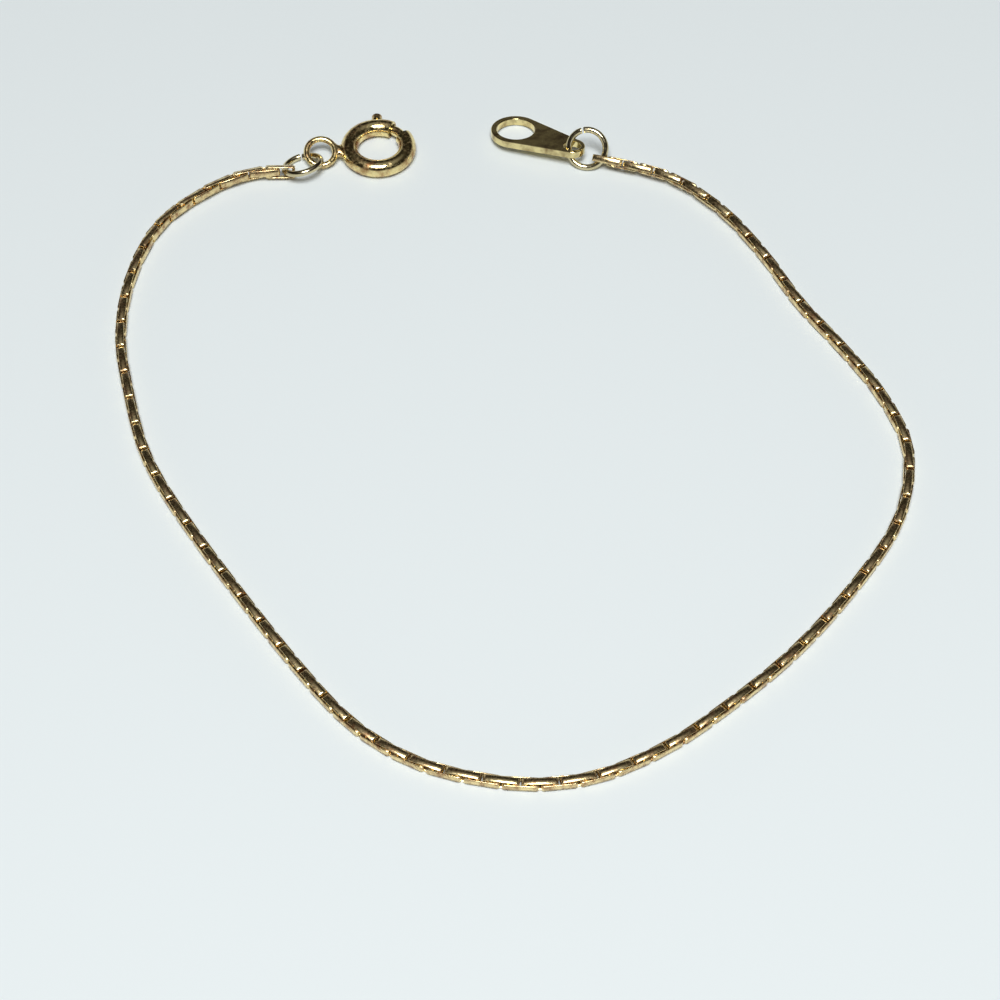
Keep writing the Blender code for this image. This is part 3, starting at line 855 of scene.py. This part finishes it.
@dataclass
class SpringRingClasp:
    """Hollow ring with a gap, a soldered eye and a sprung bolt that slides in the tube."""

    centre: tuple[float, float] = (-10.37 * MM, 28.26 * MM)
    outer_diameter: float = 6.10 * MM
    tube: float = 1.40 * MM
    wall: float = 0.20 * MM
    lip: float = 0.06 * MM
    gap_start: float = 33.0
    gap_end: float = 63.0
    eye_outer_diameter: float = 2.80 * MM
    eye_wire: float = 0.50 * MM
    eye_heading: float = 189.3
    eye_turn: float = 22.5
    eye_rise: float = 0.25 * MM
    eye_steps: int = 64
    eye_sides: int = 18
    neck_width: float = 0.90 * MM
    neck_gap: float = 0.21 * MM
    neck_sides: int = 24
    bolt_clearance: float = 0.10 * MM
    bolt_entry: float = 6.0
    bolt_travel: float = 38.0
    bolt_tail: float = 9.0
    bolt_rounding: float = 0.3
    bolt_steps: int = 40
    bolt_sides: int = 20
    knob_angle: float = 93.5
    knob_width: float = 0.84 * MM
    knob_reach: float = 0.50 * MM
    knob_neck: float = 0.46 * MM
    knob_gap: float = 0.06 * MM
    knob_edge: float = 0.03 * MM
    slot_steps: int = 12
    steps: int = 96
    sides: int = 28

    # Share of the way from ring to eye, then width and height in neck widths
    neck_flare = (
        (0.0, 1.75, 0.62), (0.15, 1.48, 0.74), (0.30, 1.28, 0.80), (0.48, 1.16, 0.80),
        (0.64, 1.18, 0.76), (0.80, 1.34, 0.66), (0.92, 1.50, 0.56), (1.0, 1.56, 0.50),
    )

    @property
    def radius(self) -> float:
        """Radius at the tube's middle."""
        return (self.outer_diameter - self.tube) / 2

    @property
    def bore(self) -> float:
        """Inner diameter of the tube."""
        return self.tube - 2 * self.wall

    @property
    def place(self) -> Matrix:
        """Place of the ring's centre, lying on the table."""
        return Matrix.Translation((*self.centre, self.tube / 2))

    def shell(self, bm: bmesh.types.BMesh) -> None:
        """Add the tube's wall from one side of the gap round to the other.

        Args:
            bm: Mesh under construction.
        """
        start = self.gap_end
        end = self.gap_start + 360
        inset = math.degrees(self.lip / self.radius)
        angles = [start + inset + (end - start - 2 * inset) * index / self.steps
                  for index in range(self.steps + 1)]
        outside = [round_section(bm, self.radius, start, self.tube - 2 * self.lip, self.sides)]
        outside += [round_section(bm, self.radius, angle, self.tube, self.sides) for angle in angles]
        outside += [round_section(bm, self.radius, end, self.tube - 2 * self.lip, self.sides)]
        angles = [start] + angles[1:-1] + [end]
        inside = [round_section(bm, self.radius, angle, self.bore, self.sides) for angle in angles]
        sweep(bm, outside)
        sweep(bm, inside)
        bridge(bm, outside[0], inside[0])
        bridge(bm, outside[-1], inside[-1])

    def slot_cutter(self) -> bmesh.types.BMesh:
        """Cutter for the slot that the knob's neck runs in.

        Returns:
            The cutter's mesh.
        """
        width = self.knob_neck + 2 * self.knob_gap
        margin = math.degrees(math.asin(width / self.outer_diameter))
        start = self.knob_angle - margin
        end = self.knob_angle + self.bolt_travel + margin
        bm = bmesh.new()
        sections = []
        for index in range(self.slot_steps + 1):
            angle = start + (end - start) * index / self.slot_steps
            corners = ((self.radius, -width / 2), (self.outer_diameter, -width / 2),
                       (self.outer_diameter, width / 2), (self.radius, width / 2))
            sections.append([bm.verts.new(ring_point(radius, angle) + Vector((0.0, 0.0, z)))
                             for radius, z in corners])
        sweep(bm, sections)
        bm.faces.new(sections[0])
        bm.faces.new(sections[-1])
        return bm

    def eye(self) -> bmesh.types.BMesh:
        """Eye of round wire with the short, flared neck that is soldered to the ring.

        Returns:
            The eye's mesh.
        """
        out = self.outer_diameter / 2 + self.neck_gap + self.eye_outer_diameter / 2
        eye_radius = (self.eye_outer_diameter - self.eye_wire) / 2
        turn = turn_to(self.eye_heading) @ Matrix.Translation((out, 0.0, self.eye_rise))
        tilt = Matrix.Rotation(math.radians(-self.eye_turn), 4, "X")
        bm = bmesh.new()
        closed_ring(bm, eye_radius, self.eye_wire, self.eye_steps, self.eye_sides)
        bm.transform(turn @ tilt)
        root = Vector((self.radius, 0.0, 0.0))
        far = Vector((out - eye_radius, 0.0, self.eye_rise))
        axis = (far - root).normalized()
        near = self.bore / 2 + self.wall / 2
        neck = self.neck((far - root).length - near)
        pitch = Matrix.Rotation(-math.asin(axis.z), 4, "Y")
        neck.transform(turn_to(self.eye_heading) @ Matrix.Translation(root + axis * near) @ pitch)
        append(bm, neck)
        return bm

    def neck(self, length: float) -> bmesh.types.BMesh:
        """Solder web from the ring to the eye, along +X, turned into the eye's plane.

        Args:
            length: Length of the web.

        Returns:
            The web's mesh.
        """
        bm = bmesh.new()
        sections = []
        for share, wide, high in self.neck_flare:
            twist = Matrix.Rotation(math.radians(-self.eye_turn) * ease(share), 4, "X")
            section = []
            for index in range(self.neck_sides):
                point = ring_point(self.neck_width / 2, 360.0 * index / self.neck_sides)
                offset = Vector((share * length, point.x * wide, point.y * high))
                section.append(bm.verts.new(twist @ offset))
            sections.append(section)
        sweep(bm, sections)
        bm.faces.new(sections[0])
        bm.faces.new(sections[-1])
        return bm

    def build_ring(self) -> bpy.types.Object:
        """Build the ring with its eye and hand it to the frame.

        Returns:
            The finished piece.
        """
        metal = CLASP_PLATE.material()
        bm = bmesh.new()
        self.shell(bm)
        ring = mesh_object("spring_ring_shell", bm, metal)
        boolean(ring, mesh_object("slot_cutter", self.slot_cutter(), metal), "DIFFERENCE")
        whole = bmesh.new()
        whole.from_mesh(ring.data)
        append(whole, self.eye())
        bpy.data.objects.remove(ring, do_unlink=True)
        whole.transform(self.place)
        item = mesh_object("spring_ring_body", whole, metal)
        return finish_piece(item, BRACELET, "clasp_gold", "spring_ring")

    def build_bolt(self) -> bpy.types.Object:
        """Build the bolt with its knob and hand it to the frame.

        Returns:
            The finished piece.
        """
        width = self.bore - 2 * self.bolt_clearance
        bm = bmesh.new()
        bent_wire(bm, self.radius, width, self.gap_start - self.bolt_entry,
                  self.knob_angle + self.bolt_tail, self.bolt_steps, self.bolt_sides,
                  width * self.bolt_rounding)
        rim = self.outer_diameter / 2 + self.knob_gap
        top = self.outer_diameter / 2 + self.knob_reach + self.knob_gap
        outward = ring_point(1.0, self.knob_angle)
        edge = self.knob_edge
        profile = [(rim - self.knob_gap * 4, self.knob_neck), (rim, self.knob_neck),
                   (rim, self.knob_width - 2 * edge), (rim + edge, self.knob_width),
                   (top - edge, self.knob_width), (top - edge * 0.3, self.knob_width - edge),
                   (top, self.knob_width - 2.6 * edge)]
        turned(bm, Vector((0.0, 0.0, 0.0)), outward, profile, self.sides)
        bm.transform(self.place)
        item = mesh_object("bolt_and_knob", bm, CLASP_PLATE.material())
        return finish_piece(item, BOLT, "clasp_gold", "bolt")


@dataclass
class EndTag:
    """Teardrop plate with a large hole for the clasp and a small one for its jump ring."""

    ring: JumpRing
    ring_heading: float = 179.0
    heading: float = -27.8
    roll: float = -10.5
    hang: float = 0.22 * MM
    hang_side: float = 0.23 * MM
    settle_steps: int = 6
    wide_radius: float = 2.02 * MM
    hole_radius: float = 1.54 * MM
    wire_clearance: float = 0.43 * MM
    tip_wall: float = 0.34 * MM
    length: float = 8.20 * MM
    thickness: float = 0.60 * MM
    edge: float = 0.06 * MM
    edge_segments: int = 3
    wide_steps: int = 72
    tip_steps: int = 32
    tip_hole_sides: int = 40

    @property
    def small_hole_radius(self) -> float:
        """Radius of the hole that the jump ring's wire runs through."""
        return self.ring.wire / 2 + self.wire_clearance

    @property
    def tip_radius(self) -> float:
        """Radius of the plate's narrow end."""
        return self.small_hole_radius + self.tip_wall

    @property
    def tip_centre(self) -> float:
        """Distance between the two holes."""
        return self.length - self.wide_radius - self.tip_radius

    @property
    def place(self) -> Matrix:
        """Place of the large hole: hung on the jump ring, with the wide end on the table.

        Returns:
            The tag's place.
        """
        hold = self.ring.wire_at(self.ring_heading)[0]
        arm = Vector((self.tip_centre - self.hang, -self.hang_side, 0.0))
        roll = Matrix.Rotation(math.radians(self.roll), 4, "X")
        pitch = 0.0
        for _ in range(self.settle_steps):
            turn = turn_to(self.heading) @ Matrix.Rotation(-pitch, 4, "Y") @ roll
            lean = math.acos(turn[2][2])
            rest = self.wide_radius * math.sin(lean) + self.thickness / 2 * math.cos(lean)
            pitch = math.asin((hold.z - rest - arm.y * turn[2][1]) / arm.x)
        return Matrix.Translation(hold - turn.to_3x3() @ arm) @ turn

    def outline(self) -> list[Vector]:
        """Outline of the plate: two arcs joined by their common tangents.

        Returns:
            The outline's points, in order.
        """
        slant = math.degrees(math.acos((self.wide_radius - self.tip_radius) / self.tip_centre))
        points = []
        for index in range(self.wide_steps + 1):
            angle = slant + (360 - 2 * slant) * index / self.wide_steps
            points.append(ring_point(self.wide_radius, angle))
        tip = Vector((self.tip_centre, 0.0, 0.0))
        for index in range(self.tip_steps + 1):
            angle = -slant + 2 * slant * index / self.tip_steps
            points.append(tip + ring_point(self.tip_radius, angle))
        return points

    def build(self) -> bpy.types.Object:
        """Build the tag and hand it to the frame.

        Returns:
            The finished piece.
        """
        metal = TAG_PLATE.material()
        half = Vector((0.0, 0.0, self.thickness / 2))
        bm = bmesh.new()
        low = [bm.verts.new(point - half) for point in self.outline()]
        high = [bm.verts.new(point + half) for point in self.outline()]
        bridge(bm, low, high)
        bm.faces.new(low)
        bm.faces.new(high)
        tag = mesh_object("end_tag_plate", bm, metal)
        holes = ((0.0, self.hole_radius, self.wide_steps),
                 (self.tip_centre, self.small_hole_radius, self.tip_hole_sides))
        for centre, radius, sides in holes:
            drill = bmesh.new()
            turned(drill, Vector((centre, 0.0, -self.thickness)), Vector((0.0, 0.0, 1.0)),
                   [(0.0, 2 * radius), (2 * self.thickness, 2 * radius)], sides)
            boolean(tag, mesh_object("drill", drill, metal), "DIFFERENCE")
        soften_edges(tag, self.edge, self.edge_segments)
        tag.data.transform(self.place)
        return finish_piece(tag, BRACELET, "clasp_gold", "tag")


@dataclass
class Stage:
    """Pale table, soft studio light and the camera."""

    table_size: float = 3.0
    camera_place: tuple[float, float, float] = (-0.52 * MM, -122.22 * MM, 147.03 * MM)
    camera_aim: tuple[float, float, float] = (-0.52 * MM, -7.35 * MM, 0.0)
    lens: float = 92.5
    softbox_size: float = 0.24
    softbox_place: tuple[float, float, float] = (0.0, -0.20, 0.52)
    softbox_power: float = 3.1

    def table(self) -> bpy.types.Object:
        """Lay the table top.

        Returns:
            The table, which isn't part of the bracelet.
        """
        bm = bmesh.new()
        bmesh.ops.create_grid(bm, x_segments=1, y_segments=1, size=self.table_size / 2)
        table = mesh_object("table_top", bm, PaleTable().material())
        return table

    def lights(self) -> None:
        """Hang one large softbox above the table."""
        light = bpy.data.lights.new("softbox", "AREA")
        light.shape = "SQUARE"
        light.size = self.softbox_size
        light.energy = self.softbox_power
        light.color = linear("fbfdff")[:3]
        item = bpy.data.objects.new("softbox", light)
        item.location = self.softbox_place
        aim = Vector((0.0, 0.0, 0.0)) - item.location
        item.rotation_euler = aim.to_track_quat("-Z", "Y").to_euler()
        bpy.context.scene.collection.objects.link(item)

    def room(self) -> None:
        """Put a dim room round the table: pale low down, darker towards the ceiling."""
        world = bpy.data.worlds.new("studio_room")
        world.use_nodes = True
        tree = world.node_tree
        shader = tree.nodes["Background"]
        direction = add_node(tree, "ShaderNodeTexCoord").outputs["Generated"]
        parts = add_node(tree, "ShaderNodeSeparateXYZ", None, {"Vector": direction})
        ramp = add_node(tree, "ShaderNodeValToRGB", None, {"Fac": parts.outputs["Z"]})
        stops = ((0.00, "e2e8ea"), (0.12, "d8dcdd"), (0.28, "6a6761"), (0.42, "23211e"),
                 (0.62, "272521"), (0.80, "38342e"), (0.95, "8a8a8a"))
        ramp.color_ramp.elements[0].position = stops[0][0]
        ramp.color_ramp.elements[0].color = linear(stops[0][1])
        ramp.color_ramp.elements[1].position = stops[-1][0]
        ramp.color_ramp.elements[1].color = linear(stops[-1][1])
        for position, colour in stops[1:-1]:
            ramp.color_ramp.elements.new(position).color = linear(colour)
        tree.links.new(ramp.outputs["Color"], shader.inputs["Color"])
        shader.inputs["Strength"].default_value = 1.0
        bpy.context.scene.world = world
        bpy.context.scene.view_settings.view_transform = "Standard"

    def camera(self) -> None:
        """Set the camera at the photograph's angle."""
        data = bpy.data.cameras.new("camera")
        data.lens = self.lens
        data.sensor_width = 36.0
        data.clip_start = 0.01
        camera = bpy.data.objects.new("camera", data)
        camera.location = self.camera_place
        aim = Vector(self.camera_aim) - camera.location
        camera.rotation_euler = aim.to_track_quat("-Z", "Y").to_euler()
        bpy.context.scene.collection.objects.link(camera)
        bpy.context.scene.camera = camera

    def build(self) -> None:
        """Build the whole stage."""
        self.table()
        self.lights()
        self.room()
        self.camera()


def main() -> None:
    """Load the frame, build every piece over it and set the stage."""
    logging.basicConfig(level=logging.INFO, format="%(name)s: %(message)s")
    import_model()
    right_ring = JumpRing(Side.RIGHT, (6.49 * MM, 27.48 * MM), (48.7, -100.8), -38.0)
    left_ring = JumpRing(Side.LEFT, (-16.39 * MM, 26.22 * MM), (21.9, 126.6), 207.0)
    Chain(right_ring, left_ring).build()
    right_ring.build()
    left_ring.build()
    clasp = SpringRingClasp()
    clasp.build_ring()
    clasp.build_bolt()
    EndTag(right_ring).build()
    Stage().build()
    bpy.context.view_layer.update()


if __name__ == "__main__":
    main()
